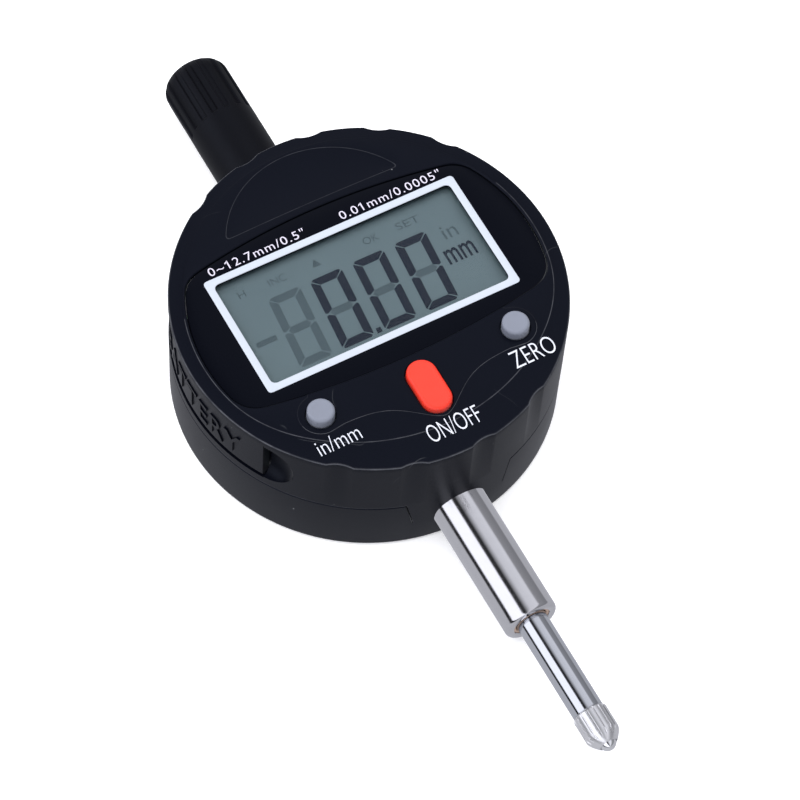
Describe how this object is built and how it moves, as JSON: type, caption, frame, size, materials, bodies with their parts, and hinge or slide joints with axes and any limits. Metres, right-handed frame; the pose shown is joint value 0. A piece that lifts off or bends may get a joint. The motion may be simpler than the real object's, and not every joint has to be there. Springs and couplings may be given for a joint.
{
  "type": "digital dial indicator",
  "caption": "Round-cased digital dial indicator with a display, three buttons, a clamping stem, a sprung ball-ended spindle, a battery drawer and a fluted dust cap.",
  "frame": {"origin": "centre of the round case on its flat back, which lies on the surface z = 0", "axes": "+Z out of the display face; +Y along the spindle towards the dust cap, the contact point towards -Y; +X to the right of the display"},
  "size_m": [0.056, 0.1246, 0.0235],
  "materials": {
    "black_plastic": "moulded, fine satin",
    "cap_plastic": "moulded, satin",
    "label_print": "gloss printed plate with a white frame round the window",
    "clear_lens": "clear",
    "lcd": "grey-green display, satin",
    "grey_plastic": "moulded, satin",
    "red_plastic": "moulded, satin",
    "steel": "ground and polished",
    "screw_steel": "plain",
    "spring_steel": "drawn wire",
    "bronze": "turned bearing bronze",
    "contact_brass": "stamped strip",
    "zinc": "die-cast",
    "board": "green solder mask",
    "chip": "moulded package",
    "cell_steel": "bright",
    "rubber": "soft black"
  },
  "bodies": {
    "case": {"front_shell": "black_plastic", "back_shell": "black_plastic", "back_cover": "black_plastic", "lcd_holder": "black_plastic", "label_plate": "label_print", "window_lens": "clear_lens", "lcd_glass": "lcd", "stem": "steel", "upper_guide": "steel", "case_screw_1": "screw_steel", "case_screw_2": "screw_steel", "case_screw_3": "screw_steel", "case_screw_4": "screw_steel", "board_screw_1": "screw_steel", "board_screw_2": "screw_steel", "board_screw_3": "screw_steel", "board_screw_4": "screw_steel", "display_screw_1": "screw_steel", "display_screw_2": "screw_steel", "display_screw_3": "screw_steel", "display_screw_4": "screw_steel", "chassis_screw_1": "screw_steel", "chassis_screw_2": "screw_steel", "return_spring": "spring_steel", "lower_bush": "bronze", "upper_bush": "bronze", "lower_battery_contact": "contact_brass", "upper_battery_contact": "contact_brass", "chassis": "zinc", "main_board": "board", "display_board": "board", "encoder_chip": "chip", "board_connector": "chip", "unit_switch": "chip", "zero_switch": "chip", "power_switch": "chip", "clock_crystal": "cell_steel", "zebra_strip_top": "rubber", "zebra_strip_bottom": "rubber", "bumper_washer": "rubber"},
    "spindle": {"spindle": "steel", "contact_point": "steel", "contact_ball": "steel", "scale_carrier": "zinc", "carrier_set_screw": "screw_steel", "guide_pin": "steel", "scale_strip": "board"},
    "drawer": {"battery_drawer": "black_plastic", "coin_cell": "cell_steel"},
    "cap": {"dust_cap": "cap_plastic"},
    "unit_key": {"unit_button": "grey_plastic"},
    "zero_key": {"zero_button": "grey_plastic"},
    "power_key": {"power_button": "red_plastic"}
  },
  "joints": [
    {"name": "spindle_slide", "type": "slide", "parent": "case", "child": "spindle", "axis": [0, 1, 0], "range_m": [0, 0.0127], "stiffness_N_per_m": 47, "springref_m": -0.0085, "deforming": ["return_spring"]},
    {"name": "battery_drawer_slide", "type": "slide", "parent": "case", "child": "drawer", "axis": [-1, 0, 0], "range_m": [0, 0.026]},
    {"name": "dust_cap_slide", "type": "slide", "parent": "case", "child": "cap", "axis": [0, 1, 0], "range_m": [0, 0.03]},
    {"name": "unit_press", "type": "slide", "parent": "case", "child": "unit_key", "axis": [0, 0, -1], "range_m": [0, 0.0006], "stiffness_N_per_m": 900, "springref_m": -0.0002},
    {"name": "zero_press", "type": "slide", "parent": "case", "child": "zero_key", "axis": [0, 0, -1], "range_m": [0, 0.0006], "stiffness_N_per_m": 900, "springref_m": -0.0002},
    {"name": "power_press", "type": "slide", "parent": "case", "child": "power_key", "axis": [0, 0, -1], "range_m": [0, 0.0006], "stiffness_N_per_m": 900, "springref_m": -0.0002}
  ]
}
